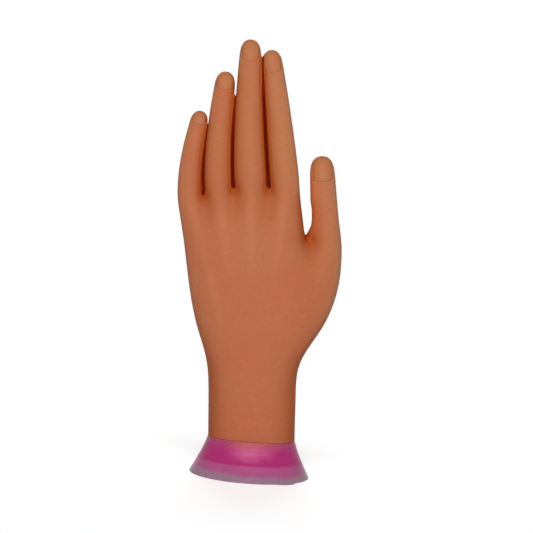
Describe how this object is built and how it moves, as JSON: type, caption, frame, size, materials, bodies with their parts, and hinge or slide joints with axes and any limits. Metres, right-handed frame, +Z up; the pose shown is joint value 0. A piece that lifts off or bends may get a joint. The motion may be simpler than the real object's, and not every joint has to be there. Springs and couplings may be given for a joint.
{
  "type": "nail practice hand",
  "caption": "Soft left practice hand on a suction cup, with wired fingers that bend at the knuckles and nails that slide out.",
  "frame": {"origin": "bottom centre of the whole part's box, on the surface that the cup's rim stands on", "axes": "+Z up the cup's axis, -Y out of the back of the hand, +X towards the thumb"},
  "size_m": [0.084, 0.0596, 0.2153],
  "materials": {
    "palm_skin": "soft matte",
    "palm_core": "moulded",
    "wrist_plug": "moulded",
    "suction_cup": "soft translucent",
    "little_wire": "drawn",
    "ring_wire": "drawn",
    "middle_wire": "drawn",
    "index_wire": "drawn",
    "thumb_wire": "drawn",
    "little_base_knuckle": "soft matte",
    "ring_base_knuckle": "soft matte",
    "middle_base_knuckle": "soft matte",
    "index_base_knuckle": "soft matte",
    "thumb_lower_knuckle": "soft matte",
    "little_base_length": "soft matte",
    "little_middle_knuckle": "soft matte",
    "little_middle_length": "soft matte",
    "little_tip_knuckle": "soft matte",
    "little_fingertip": "soft matte",
    "little_nail": "satin",
    "ring_base_length": "soft matte",
    "ring_middle_knuckle": "soft matte",
    "ring_middle_length": "soft matte",
    "ring_tip_knuckle": "soft matte",
    "ring_fingertip": "soft matte",
    "ring_nail": "satin",
    "middle_base_length": "soft matte",
    "middle_middle_knuckle": "soft matte",
    "middle_middle_length": "soft matte",
    "middle_tip_knuckle": "soft matte",
    "middle_fingertip": "soft matte",
    "middle_nail": "satin",
    "index_base_length": "soft matte",
    "index_middle_knuckle": "soft matte",
    "index_middle_length": "soft matte",
    "index_tip_knuckle": "soft matte",
    "index_fingertip": "soft matte",
    "index_nail": "satin",
    "thumb_lower_length": "soft matte",
    "thumb_tip_knuckle": "soft matte",
    "thumb_fingertip": "soft matte",
    "thumb_nail": "satin"
  },
  "bodies": {
    "palm": {"palm_skin": "palm_skin", "palm_core": "palm_core", "wrist_plug": "wrist_plug", "suction_cup": "suction_cup", "little_wire": "little_wire", "ring_wire": "ring_wire", "middle_wire": "middle_wire", "index_wire": "index_wire", "thumb_wire": "thumb_wire", "little_base_knuckle": "little_base_knuckle", "ring_base_knuckle": "ring_base_knuckle", "middle_base_knuckle": "middle_base_knuckle", "index_base_knuckle": "index_base_knuckle", "thumb_lower_knuckle": "thumb_lower_knuckle"},
    "little_base_length": {"little_base_length": "little_base_length", "little_middle_knuckle": "little_middle_knuckle"},
    "little_middle_length": {"little_middle_length": "little_middle_length", "little_tip_knuckle": "little_tip_knuckle"},
    "little_fingertip": {"little_fingertip": "little_fingertip"},
    "little_nail": {"little_nail": "little_nail"},
    "ring_base_length": {"ring_base_length": "ring_base_length", "ring_middle_knuckle": "ring_middle_knuckle"},
    "ring_middle_length": {"ring_middle_length": "ring_middle_length", "ring_tip_knuckle": "ring_tip_knuckle"},
    "ring_fingertip": {"ring_fingertip": "ring_fingertip"},
    "ring_nail": {"ring_nail": "ring_nail"},
    "middle_base_length": {"middle_base_length": "middle_base_length", "middle_middle_knuckle": "middle_middle_knuckle"},
    "middle_middle_length": {"middle_middle_length": "middle_middle_length", "middle_tip_knuckle": "middle_tip_knuckle"},
    "middle_fingertip": {"middle_fingertip": "middle_fingertip"},
    "middle_nail": {"middle_nail": "middle_nail"},
    "index_base_length": {"index_base_length": "index_base_length", "index_middle_knuckle": "index_middle_knuckle"},
    "index_middle_length": {"index_middle_length": "index_middle_length", "index_tip_knuckle": "index_tip_knuckle"},
    "index_fingertip": {"index_fingertip": "index_fingertip"},
    "index_nail": {"index_nail": "index_nail"},
    "thumb_lower_length": {"thumb_lower_length": "thumb_lower_length", "thumb_tip_knuckle": "thumb_tip_knuckle"},
    "thumb_fingertip": {"thumb_fingertip": "thumb_fingertip"},
    "thumb_nail": {"thumb_nail": "thumb_nail"}
  },
  "joints": [
    {"name": "little_base_bend", "type": "hinge", "parent": "palm", "child": "little_base_length", "pos_m": [-0.03632, 0.00084, 0.14161], "axis": [-0.9989, 0, -0.0475], "range_deg": [-15, 65], "deforming": ["little_base_knuckle", "little_wire"]},
    {"name": "little_middle_bend", "type": "hinge", "parent": "little_base_length", "child": "little_middle_length", "pos_m": [-0.0361, 0.00119, 0.15387], "axis": [-0.9978, 0, 0.0664], "range_deg": [-10, 80], "deforming": ["little_middle_knuckle", "little_wire"]},
    {"name": "little_tip_bend", "type": "hinge", "parent": "little_middle_length", "child": "little_fingertip", "pos_m": [-0.03508, 0.00179, 0.16437], "axis": [-0.9922, 0, 0.1248], "range_deg": [-10, 50], "deforming": ["little_tip_knuckle", "little_wire"]},
    {"name": "little_nail_slide", "type": "slide", "parent": "little_fingertip", "child": "little_nail", "axis": [0.1565, 0.0864, 0.9839], "range_m": [0, 0.009]},
    {"name": "ring_base_bend", "type": "hinge", "parent": "palm", "child": "ring_base_length", "pos_m": [-0.02235, 0.00032, 0.14683], "axis": [-0.9962, 0, -0.0874], "range_deg": [-15, 65], "deforming": ["ring_base_knuckle", "ring_wire"]},
    {"name": "ring_middle_bend", "type": "hinge", "parent": "ring_base_length", "child": "ring_middle_length", "pos_m": [-0.02305, 0.00064, 0.1634], "axis": [-1, 0, -0.0091], "range_deg": [-10, 80], "deforming": ["ring_middle_knuckle", "ring_wire"]},
    {"name": "ring_tip_bend", "type": "hinge", "parent": "ring_middle_length", "child": "ring_fingertip", "pos_m": [-0.02283, 0.00129, 0.17956], "axis": [-0.9994, 0, 0.0343], "range_deg": [-10, 50], "deforming": ["ring_tip_knuckle", "ring_wire"]},
    {"name": "ring_nail_slide", "type": "slide", "parent": "ring_fingertip", "child": "ring_nail", "axis": [0.0559, 0.0641, 0.9964], "range_m": [0, 0.011]},
    {"name": "middle_base_bend", "type": "hinge", "parent": "palm", "child": "middle_base_length", "pos_m": [-0.00657, 0.00002, 0.14863], "axis": [-0.9926, 0, -0.1213], "range_deg": [-15, 65], "deforming": ["middle_base_knuckle", "middle_wire"]},
    {"name": "middle_middle_bend", "type": "hinge", "parent": "middle_base_length", "child": "middle_middle_length", "pos_m": [-0.00869, 0.00035, 0.17133], "axis": [-0.9973, 0, -0.0732], "range_deg": [-10, 80], "deforming": ["middle_middle_knuckle", "middle_wire"]},
    {"name": "middle_tip_bend", "type": "hinge", "parent": "middle_middle_length", "child": "middle_fingertip", "pos_m": [-0.00993, 0.00102, 0.19179], "axis": [-0.9988, 0, -0.0491], "range_deg": [-10, 50], "deforming": ["middle_tip_knuckle", "middle_wire"]},
    {"name": "middle_nail_slide", "type": "slide", "parent": "middle_fingertip", "child": "middle_nail", "axis": [-0.0361, 0.0517, 0.998], "range_m": [0, 0.012]},
    {"name": "index_base_bend", "type": "hinge", "parent": "palm", "child": "index_base_length", "pos_m": [0.01035, 0.00022, 0.14934], "axis": [-0.9876, 0, -0.1569], "range_deg": [-15, 65], "deforming": ["index_base_knuckle", "index_wire"]},
    {"name": "index_middle_bend", "type": "hinge", "parent": "index_base_length", "child": "index_middle_length", "pos_m": [0.00682, 0.00055, 0.1703], "axis": [-0.9851, 0, -0.1722], "range_deg": [-10, 80], "deforming": ["index_middle_knuckle", "index_wire"]},
    {"name": "index_tip_bend", "type": "hinge", "parent": "index_middle_length", "child": "index_fingertip", "pos_m": [0.00344, 0.00122, 0.18921], "axis": [-0.9837, 0, -0.1798], "range_deg": [-10, 50], "deforming": ["index_tip_knuckle", "index_wire"]},
    {"name": "index_nail_slide", "type": "slide", "parent": "index_fingertip", "child": "index_nail", "axis": [-0.1831, 0.054, 0.9816], "range_m": [0, 0.013]},
    {"name": "thumb_lower_bend", "type": "hinge", "parent": "palm", "child": "thumb_lower_length", "pos_m": [0.03251, 0.00303, 0.12571], "axis": [-0.993, 0, -0.1177], "range_deg": [-15, 45], "deforming": ["thumb_lower_knuckle", "thumb_wire"]},
    {"name": "thumb_tip_bend", "type": "hinge", "parent": "thumb_lower_length", "child": "thumb_fingertip", "pos_m": [0.03087, 0.00348, 0.13951], "axis": [-0.993, 0, -0.1177], "range_deg": [-10, 60], "deforming": ["thumb_tip_knuckle", "thumb_wire"]},
    {"name": "thumb_nail_slide", "type": "slide", "parent": "thumb_fingertip", "child": "thumb_nail", "axis": [-0.1174, 0.0734, 0.9904], "range_m": [0, 0.0155]}
  ]
}
